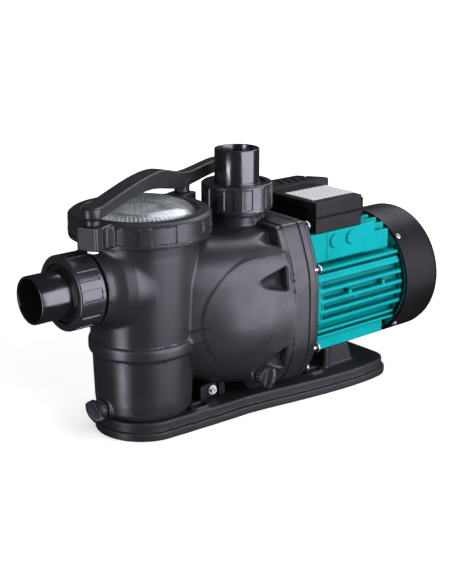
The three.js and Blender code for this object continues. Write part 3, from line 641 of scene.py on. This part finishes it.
# ---- Lid ring, lever, lid and basket ----
RING_LOW, RING_HIGH = 216.8, 242.8
RING_R = 75.2
PANEL_FIRST, PANEL_STEP = math.radians(22), math.radians(30)
SCREW_HOLE_R = 3.4


def lid_ring(x, y, z):
    r = np.hypot(x, y)
    shell = turned(r, z, [(64.8, RING_LOW), (RING_R, RING_LOW), (RING_R + 0.5, 222), (RING_R, 239.5),
                          (72, 242.2), (61, RING_HIGH), (61, 237), (64.8, 237)], 0.8)
    turn = np.mod(np.arctan2(y, x) - LEVER_TURN, math.pi)
    panel = PANEL_FIRST + PANEL_STEP * np.clip(np.round((turn - PANEL_FIRST) / PANEL_STEP), 0, 4)
    away = np.abs(turn - panel) * r
    pocket = np.maximum(np.maximum(away - 13.3, slab(z, 221.5, 238.6)), RING_R - 1.5 - r)
    shell = carve(shell, pocket, 0.25)
    bead = np.hypot(r - 62.3, z - RING_HIGH + 0.5) - 0.8
    shell = join(shell, bead, 0.8)
    c, s = math.cos(LEVER_TURN), math.sin(LEVER_TURN)
    along, across = x * c + y * s, -x * s + y * c
    reach = np.abs(along)
    lug = both(box2(reach - 83, across, 14, 12.2, 2.0), slab(z, 219.2, RING_HIGH), 1.0)
    beside = across * np.sign(along) - 8
    step = both(box2(reach - 76, beside, 9.5, 8, 2.0), slab(z, 220.5, RING_HIGH - 1.5), 1.5)
    shell = join(join(shell, step, 2), lug, 1.2)
    shell = carve(shell, np.maximum(r - 60.9, z - 300))
    shell = carve(shell, rod(np.hypot(reach - LEVER_POST, across), z, SCREW_HOLE_R, 200, 260))
    return carve(shell, np.maximum(r - 64.7, z - 237))


low, high = corners("lid_ring")
pot_axis = np.array([POT_X, 0, 0])
mesh = cast("lid_ring_body", lid_ring, low - pot_axis, high - pot_axis, 1.1, AT_POT)
piece("lid_ring_body", mesh, CHARCOAL, "lid_ring", ["lid_ring"])

LEVER_TOP = [(-92, 255), (-88, 260), (-78, 263), (-52, 268), (-28, 272.5), (-2, 276.5), (25, 278.5),
             (45, 276), (80, 266), (100, 265.2), (126, 266.8), (165, 268.8), (176, 265)]
LEVER_UNDER = [(176, 258), (165, 255), (126, 252.5), (100, 250.5), (85, 249.6), (68, 250.3), (45, 255),
               (19, 260.5), (-2, 262), (-28, 260), (-53, 256), (-74, 251.5), (-92, 249)]
LEVER_SIDE = soften(LEVER_UNDER + LEVER_TOP)
PLAN_HALF = [(-95, -9.8), (-60, -10.6), (0, -11), (40, -10), (70, -7.4), (160, -7.4), (176, -5)]
LEVER_PLAN = PLAN_HALF + [(s, -across) for s, across in reversed(PLAN_HALF)]


def lever(x, y, z):
    arch = both(outline(x, z, LEVER_SIDE, 1.0), outline(x, y, LEVER_PLAN, 7), 1.8)
    near, far = np.hypot(x + LEVER_POST, y), np.hypot(x - LEVER_POST, y)
    nose = rod(near, z, 10.2, 249.5, 262, 3.2)
    post = join(join(arch, nose, 1.5), rod(near, z, 7.8, 243.1, 256, 0.8), 0.8)
    post = join(post, rod(far, z, 8.5, 243.1, 257, 1.0), 1.5)
    holes = rod(np.minimum(near, far), z, SCREW_HOLE_R, 230, 247.5)
    return carve(post, holes)


LEVER_PLACE = AT_POT @ Matrix.Rotation(LEVER_TURN, 4, "Z")
mesh = cast("lid_lever_arch", lever, (-97, -12, 243), (176, 12, 280), 1.1, LEVER_PLACE)
piece("lid_lever_arch", mesh, CHARCOAL, "lid_ring", ["lid_lever"])

DOME_INSIDE = [(0, 248.4), (10, 248.2), (20, 247.4), (30, 246), (38, 244.2), (45, 242), (50, 239.8),
               (53, 237.4), (54, 235), (54, 232.3)]
DOME_OUTSIDE = [(63, 232.3), (63, 236.3), (60.2, 236.3), (59.4, 239), (57.5, 241.6), (54.5, 244.4),
                (50, 246.8), (45, 248.6), (38, 250.4), (30, 251.7), (20, 252.5), (10, 252.9), (0, 253)]
mesh = spun("lid_dome", DOME_INSIDE + DOME_OUTSIDE, AT_POT)
piece("lid_dome", mesh, CLEAR, "lid", ["clear_lid"], 40)


def dome_ribs(x, y, z):
    """Short moulded ribs all round under the edge of the dome."""
    r = np.hypot(x, y)
    under = turned(r, z, [(44, 233.5), (53.7, 233.5), (53.7, 235.4), (52.4, 236.9), (49.6, 238.9),
                          (44.6, 241.2)])
    return both(under, np.abs(around(x, y, 66)) * r - 0.85, 0.2)


mesh = cast("lid_dome_ribs", dome_ribs, (-54, -54, 233), (54, 54, 242), 0.7, AT_POT)
piece("lid_dome_ribs", mesh, NATURAL, "lid")


def basket(x, y, z):
    r = np.hypot(x, y)
    cup = turned(r, z, [(-20, 39), (40, 39), (47.6, 203.3), (53.5, 203.3), (53.5, 206), (45.6, 206),
                        (38, 41.5), (-20, 41.5)], 0.4)
    collar = tube(r, z, 50.5, 53.3, 204, 228, 0.5)
    comb = np.maximum(np.abs(around(x, y, 48)) * r - 1.6, slab(z, 208, 225))
    shape = np.minimum(cup, carve(collar, np.maximum(comb, 40 - r), 0.3))
    slots = np.maximum(np.abs(around(x, y, 36)) * r - 1.9, np.minimum(slab(z, 50, 116), slab(z, 124, 188)))
    shape = carve(shape, np.maximum(slots, 30 - r), 0.4)
    shape = carve(shape, np.maximum(np.hypot(y, z - SUCTION_Z) - 20, x + 30), 0.4)
    pitch = 9
    holes = np.hypot((x + pitch / 2) % pitch - pitch / 2, (y + pitch / 2) % pitch - pitch / 2) - 2.4
    shape = carve(shape, np.maximum(holes, np.maximum(r - 33, slab(z, 30, 46))), 0.3)
    grip = both(slab(z, 202, 206), np.maximum(np.abs(y) - 3, np.abs(x) - 46.3), 0.6)
    return np.minimum(shape, grip)


mesh = cast("basket_cage", basket, (-54, -54, 39), (54, 54, 228), 1.4, AT_POT)
piece("basket_cage", mesh, NATURAL, "basket", ["strainer_basket"])


# ---- Pipe unions ----
def nut_field(low, high):
    def field(x, y, z):
        r = np.hypot(x, y)
        shell = turned(r, z, [(33.6, low), (40, low), (40, high), (31.3, high), (31.3, high - 3.3),
                              (33.6, high - 3.3)], 0.5)
        shell = meet(shell, turned(r, z, [(20, low - 9), (38.4, low - 9), (40, low + 1.4), (40, high - 2),
                                          (38, high + 0.1), (20, high + 0.1)]), 1.4)
        pockets = np.abs(around(x, y, 12, 0.13)) * r
        pocket = np.maximum(np.maximum(pockets - 5.6, slab(z, low + 4.0, high - 3.6)), 38.3 - r)
        return carve(shell, pocket, 0.25)
    return field


def tail_profile(face, end):
    collar = [(22.2, 0.3), (33, 0.3), (33, 4.6), (31, 4.9), (30.4, 4.9), (30.4, 6.0), (30, 6.4), (27.6, 6.4),
              (27.2, 7.2), (25.6, 7.2), (25.1, 7.8), (25, 8.6)]
    mouth = [(25, 0.7), (24.6, 0.2), (24.1, 0), (22.9, 0), (22.4, 0.3), (22.2, 0.9)]
    return [(r, face + t) for r, t in collar] + [(r, end - t) for r, t in mouth]


for side, face, end, place in (
        ("suction", -SUCTION_FACE, -corners("suction_tailpiece")[0][0], TO_SUCTION),
        ("discharge", DISCHARGE_FACE, corners("discharge_tailpiece")[1][2], Matrix.Identity(4))):
    field = nut_field(face - 21.7, face + 8.3)
    mesh = cast(f"{side}_nut_body", field, (-41, -41, face - 22), (41, 41, face + 9), 0.9, place)
    piece(f"{side}_nut_body", mesh, CHARCOAL_NUT, f"{side}_nut",
          [f"{side}_union_nut"], 30)
    mesh = spun(f"{side}_tail_pipe", tail_profile(face, end), place)
    piece(f"{side}_tail_pipe", mesh, PIPE, f"{side}_tail", [f"{side}_tailpiece"], 40)


# ---- Drain plugs ----
PLUG_PROFILE = [(-9, -9), (5, -9), (5, 2.2), (10, 2.2), (10.6, 4), (10.8, 8.5), (9.4, 10.6), (-9, 10.6)]
BLADE = [(-13, 8), (13, 8), (11.5, 18), (4, 20.8), (-4, 20.8), (-11.5, 18)]


def plug(x, y, z):
    """A ribbed round head with a tapering thumb blade across it; z points outwards from the boss."""
    r = np.hypot(x, y)
    head = turned(r, z, PLUG_PROFILE, 0.6)
    groove = np.maximum(np.abs(around(x, y, 18)) * r - 0.8, np.maximum(9.9 - r, slab(z, 3.6, 8.2)))
    head = carve(head, groove, 0.4)
    blade = both(outline(x, z, BLADE, 2), np.abs(y) - (2.9 - 0.06 * (z - 9)), 1.0)
    return join(head, blade, 2.2)


TO_STRAINER_DRAIN = (Matrix.Translation((POT_X - 52.5, STRAINER_DRAIN[1], STRAINER_DRAIN[2]))
                     @ Matrix.Rotation(-math.pi / 2, 4, "Y") @ Matrix.Rotation(math.radians(45), 4, "Z"))
TO_CASING_DRAIN = (Matrix.Translation((CASING_DRAIN[0], -74, CASING_DRAIN[2]))
                   @ Matrix.Rotation(math.pi / 2, 4, "X") @ Matrix.Rotation(math.radians(75), 4, "Z"))
for side, place in (("strainer", TO_STRAINER_DRAIN), ("casing", TO_CASING_DRAIN)):
    mesh = cast(f"{side}_drain_knob", plug, (-14, -12, -9), (14, 12, 22), 0.55, place)
    piece(f"{side}_drain_knob", mesh, CHARCOAL, f"{side}_drain",
          [f"{side}_drain_plug"], 40)


# ---- Motor housing ----
HOUSING_LOW, HOUSING_HIGH = corners("motor_housing")
HOUSING_FRONT = HOUSING_LOW[0]
FIN_PITCH = 12.2
FIN_FIRST = 4.8
FIN_START, FIN_TIP = HOUSING_FRONT + 14, 201
FOOT_UNDER = 47.3
# distance from the middle and height of the slotted rails on each side
RAILS = ((54.5, 145.6), (51, 70.5))
# x of the round pads beside the terminal box, and x and z of the screwed pads lower down
BOX_PADS = (100.6, 127.2)
SCREW_PADS = ((122, 112.4), (178, 113.2))


def rails(x, side, z):
    """The slotted rails along the sides."""
    each = []
    for rail_y, rail_z in RAILS:
        rail = both(box2(side - rail_y, z - rail_z, 8.5, 5.2, 1.5), slab(x, FIN_START, FIN_TIP), 1.0)
        slot = np.maximum(np.abs(z - rail_z) - 1.9, rail_y + 1.5 - side)
        each.append(carve(rail, slot, 0.3))
    return each


def upright_fins(x, y, z):
    """Fins that stand beside and behind the terminal box, lower and longer towards the sides."""
    side = np.abs(y)
    line = 5 + 10 * np.clip(np.round((side - 5) / 10), 0, 4)
    top = np.where(side > 40, 184, np.where(side > 30, 188, 189.6))
    end = np.where(side > 40, 191, np.where(side > 30, 189.5, 186.5))
    thick = np.abs(side - line) - 1.6
    return np.maximum(thick, np.maximum(slab(x, 150, end), slab(z, 130, top)))


def motor_housing(x, y, z):
    h = z - SHAFT_Z
    r = np.hypot(y, h)
    side = np.abs(y)
    core = both(r - 61.5, slab(x, HOUSING_FRONT + 6, HOUSING_HIGH[0]), 1.0)
    collar = both(r - 71, slab(x, HOUSING_FRONT, HOUSING_FRONT + 19), 1.2)
    collar = carve(collar, np.maximum(np.abs(x - HOUSING_FRONT - 16) - 0.7, 69.6 - r), 0.2)
    shape = join(core, collar, 2)
    step = np.clip(np.round((h - FIN_FIRST) / FIN_PITCH), -2, 2)
    fin = np.abs(h - FIN_FIRST - step * FIN_PITCH) - (2.9 - 0.012 * side)
    reach = both(r - 71.8, slab(x, FIN_START, FIN_TIP), 1.0)
    fins = np.maximum(np.maximum(fin, reach), 30 - side)
    shape = join(shape, fins, 1.6)
    for rail in rails(x, side, z):
        shape = join(shape, rail, 2.5)
    wall = both(slab(x, 62, 168), both(side - 55, slab(z, 155, 190), 2.0), 1.2)
    shape = join(shape, wall, 6)
    skirt = both(slab(x, 150, 191), both(slab(side, 50.5, 55), slab(z, 155, 177.3), 0.8), 0.8)
    shape = join(join(shape, skirt, 2), upright_fins(x, y, z), 1.0)
    groove = np.maximum(np.maximum(np.abs(x - 88.5) - 0.7, 54.0 - side), 157 - z)
    shape = carve(shape, groove, 0.1)
    for pad_x in BOX_PADS:
        shape = join(shape, both(np.hypot(x - pad_x, z - 178) - 7.8, slab(side, 50, 57.4), 0.4), 0.3)
    for pad_x, pad_z in SCREW_PADS:
        pad = both(np.hypot(x - pad_x, z - pad_z) - 3.0, slab(side, 58, 70.8), 0.5)
        bump = both(np.hypot(x - pad_x + 8, z - pad_z - 5.5) - 2.8, slab(side, 58, 69.8), 0.6)
        pad = carve(pad, np.maximum(np.hypot(x - pad_x, z - pad_z) - 1.3, 68 - side), 0.2)
        shape = join(join(shape, bump, 1.5), pad, 1.2)
    foot = both(slab(x, 62, 190), both(side - 52, slab(z, FOOT_UNDER, 63), 2.0), 1.2)
    shape = np.maximum(join(shape, foot, 2), FOOT_UNDER - z)
    bore = rod(r, x, 57, HOUSING_FRONT + 7, 260)
    bore = np.minimum(bore, rod(r, x, 12, 0, 80))
    return carve(shape, bore)


beside = np.array([0, 4, 0])
mesh = cast("motor_shell", motor_housing, HOUSING_LOW - beside, HOUSING_HIGH + beside, 1.1)
piece("motor_shell", mesh, TEAL, "pump", ["motor_housing"])
SHIELD_RIM = [(71.6, 204.6), (73.2, 204.6), (73.5, 205), (73.5, 206.6), (71.6, 206.6)]
piece("shield_rim", spun("shield_rim", SHIELD_RIM, TO_SHAFT), TEAL, "pump")


# ---- Fan cover ----
COVER_LOW, COVER_HIGH = corners("fan_cover")


def fan_cover(x, y, z):
    r = np.hypot(y, z - SHAFT_Z)
    front, back = COVER_LOW[0], COVER_HIGH[0]
    hub_r, ring_pitch = 14, 7.5
    inside = [(-20, back - 2.4), (64, back - 2.4), (72, back - 5), (75, back - 10), (75, front)]
    outside = [(78, front), (78, back - 8), (76.8, back - 3.6), (73.6, back - 0.9), (69, back), (-20, back)]
    shape = turned(r, x, inside + outside, 0.6)
    spoke = np.abs(around(y, z - SHAFT_Z, 12)) * r - 2.0
    gaps = np.abs((r - hub_r) % ring_pitch - ring_pitch / 2) - 2.3
    grille = np.maximum(np.maximum(gaps, -spoke), np.maximum(slab(r, hub_r, 63), back - 5 - x))
    return carve(shape, grille, 0.5)


piece("fan_cowl", cast("fan_cowl", fan_cover, COVER_LOW, COVER_HIGH, 1.1), BLACK, "pump",
      ["fan_cover"])


# ---- Terminal box ----
HOOD = [(70, 22), (166, 22), (166, 30), (146, 58), (70, 58)]
BOX = [(70, -55), (144, -55), (144, 22)] + HOOD[1:]
BOX_WALL = 8
BOX_LOW, BOX_HIGH = corners("terminal_box_cover")
BOX_FLOOR = corners("terminal_box_base")[0][2]
BOX_SPLIT = 208
RIM_UNDER = 217.5


def box_shell(x, y, z):
    """The outside of the closed box: a rim over a side recessed towards the pump, and a corner post."""
    shape = both(outline(x, y, BOX, 1.5), slab(z, BOX_FLOOR, 226), 1.0)
    shape = join(shape, both(outline(x, y, HOOD, 1.5), slab(z, BOX_FLOOR, BOX_HIGH[2]), 1.0), 0.8)
    shape = join(shape, both(slab(x, 140, 147.4), both(slab(y, -54, 14), slab(z, 199, 222), 1.0), 0.8), 0.8)
    recess = np.maximum(x - 76.5, np.maximum(z - RIM_UNDER, -44.5 - y))
    shape = carve(shape, recess, 0.4)
    ledge = both(slab(x, 71.5, 80), both(slab(y, -46, 56), slab(z, 213.5, 215), 0.4), 0.3)
    post = both(box2(x - 73.6, y + 49.2, 3.0, 1.1, 0.5), slab(z, BOX_FLOOR, RIM_UNDER), 0.4)
    notch = np.maximum(box2(x - 71, y + 51.6, 3.5, 1.0, 0.3), z - RIM_UNDER)
    shape = np.minimum(carve(shape, notch, 0.3), np.minimum(ledge, post))
    along, pitch = x - (y - 44) / 3, 11.5
    line = np.abs(np.mod(along - 104 + pitch / 2, pitch) - pitch / 2) - 1.3
    grooves = np.maximum(np.maximum(line, slab(along, 99, 154)), np.maximum(slab(y, 32, 54), 228.2 - z))
    return carve(shape, grooves, 0.4)


def box_cover(x, y, z):
    lid = np.maximum(box_shell(x, y, z), BOX_LOW[2] - z)
    hollow = np.maximum(outline(x, y, inset(BOX, BOX_WALL)), z - 222)
    return carve(lid, hollow)


def box_base(x, y, z):
    shape = np.maximum(box_shell(x, y, z), z - BOX_SPLIT + 0.4)
    return carve(shape, np.maximum(outline(x, y, inset(BOX, BOX_WALL)), BOX_FLOOR + 3 - z))


piece("box_cover", cast("box_cover", box_cover, BOX_LOW, BOX_HIGH, 0.8), BLACK, "pump",
      ["terminal_box_cover"])
low, high = corners("terminal_box_base")
beside = np.array([2, 2, 0])
piece("box_base", cast("box_base", box_base, low - beside, high + beside, 0.8), BLACK, "pump",
      ["terminal_box_base"])


# ---- CAD nodes that stay, with better materials ----
LOOKS = {
    "black_plastic": BLACK, "gloss_black": PIPE, "teal_paint": TEAL, "steel": STEEL, "rubber": RUBBER,
    "clear_plastic": CLEAR, "label_foil": FOIL, "natural_plastic": NATURAL, "ceramic_white": CERAMIC,
    "iron": LAMINATION, "aluminium": CAST_METAL, "copper": COPPER, "charcoal_plastic": CHARCOAL,
}
for part in frame["record"]["subparts"]:
    obj = frame["nodes"][part["node"]]
    if obj.hide_render:
        continue
    look = SHAFT_STEEL if part["node"] == "motor_shaft" else LOOKS[part["material_slot"]]
    obj.data.materials.clear()
    obj.data.materials.append(look)
    obj.data.polygons.foreach_set("use_smooth", [True] * len(obj.data.polygons))
    obj.data.set_sharp_from_angle(angle=math.radians(32))


# ---- Floor, light and camera ----
SKY_SOFT, SKY_GLOSS = 0.17, 0.04
TINT = (0.95, 0.95, 1.0)
LIGHT_AIM = Vector((0.0, 0.0, 0.12))
# name, azimuth, elevation, distance, width, height, radiance
SOFTBOXES = (
    ("right_box", 288, 10, 1.6, 2.0, 1.9, 5.2),
    ("left_box", 186, -6, 1.6, 0.45, 1.5, 11.0),
    ("top_box", 18, 56, 1.6, 0.9, 1.1, 3.6),
    ("rim_box", 20, 25, 1.8, 0.5, 1.2, 1.5),
)


def paper():
    """White paper that the camera sees evenly lit, and that throws less light back at the pump."""
    n = Nodes("studio_paper")
    seen = n.add("LightPath").outputs["Is Camera Ray"]
    colour = n.blend(n.span(n.noise(8, 3), 0, 1), grey(0.78), grey(0.82))
    away = n.add("VectorMath", {0: n.place}, operation="LENGTH").outputs["Value"]
    glow = n.add("Math", {0: seen, 1: n.span(away, 0.56, 1.0, 0.40, 1.2)}, operation="MULTIPLY").outputs[0]
    return n.wire(Base_Color=n.blend(seen, grey(0.28), colour), Roughness=0.9,
                  Emission_Color=grey(1.0), Emission_Strength=glow, Specular_IOR_Level=0.0)


def floor(size=6.0):
    mesh = bpy.data.meshes.new("studio_floor")
    edge = [(-size, -size, 0), (size, -size, 0), (size, size, 0), (-size, size, 0)]
    mesh.from_pydata(edge, [], [(0, 1, 2, 3)])
    obj = bpy.data.objects.new("studio_floor", mesh)
    bpy.context.scene.collection.objects.link(obj)
    mesh.materials.append(paper())
    obj.visible_glossy = False


def sky():
    """White to the camera, dim for the light it gives and dimmer in reflections."""
    world = bpy.data.worlds.new("studio_world")
    world.use_nodes = True
    tree = world.node_tree
    path = tree.nodes.new("ShaderNodeLightPath")

    def pick(ray, no, yes):
        mix = tree.nodes.new("ShaderNodeMix")
        mix.data_type = "RGBA"
        tree.links.new(path.outputs[ray], mix.inputs[0])
        feed(tree, no, mix.inputs[6])
        feed(tree, yes, mix.inputs[7])
        return mix.outputs[2]

    lit = pick("Is Glossy Ray", grey(SKY_SOFT), grey(SKY_GLOSS))
    tree.links.new(pick("Is Camera Ray", lit, grey(1.0)), tree.nodes["Background"].inputs[0])
    bpy.context.scene.world = world


def softbox(name, azimuth, elevation, distance, width, height, radiance):
    """A rectangular light at a direction from the pump, facing it."""
    a, e = math.radians(azimuth), math.radians(elevation)
    away = Vector((math.cos(e) * math.cos(a), math.cos(e) * math.sin(a), math.sin(e)))
    data = bpy.data.lights.new(name, "AREA")
    data.shape = "RECTANGLE"
    data.size, data.size_y = width, height
    data.energy = radiance * math.pi * width * height
    data.color = TINT
    light = bpy.data.objects.new(name, data)
    bpy.context.scene.collection.objects.link(light)
    light.location = LIGHT_AIM + distance * away
    light.rotation_euler = (-away).to_track_quat("-Z", "Y").to_euler()


def camera():
    turn, tilt = math.radians(40.2), math.radians(17.51)
    data = bpy.data.cameras.new("photo_camera")
    data.sensor_width = 36
    data.lens = 74.7
    cam = bpy.data.objects.new("photo_camera", data)
    bpy.context.scene.collection.objects.link(cam)
    cam.location = (-0.8598, -0.9989, 0.5393)
    look = Vector((math.sin(turn) * math.cos(tilt), math.cos(turn) * math.cos(tilt), -math.sin(tilt)))
    cam.rotation_euler = look.to_track_quat("-Z", "Y").to_euler()
    data.clip_start, data.clip_end = 0.05, 50
    bpy.context.scene.camera = cam


floor()
sky()
for light in SOFTBOXES:
    softbox(*light)
camera()
bpy.context.scene.view_settings.view_transform = "Standard"
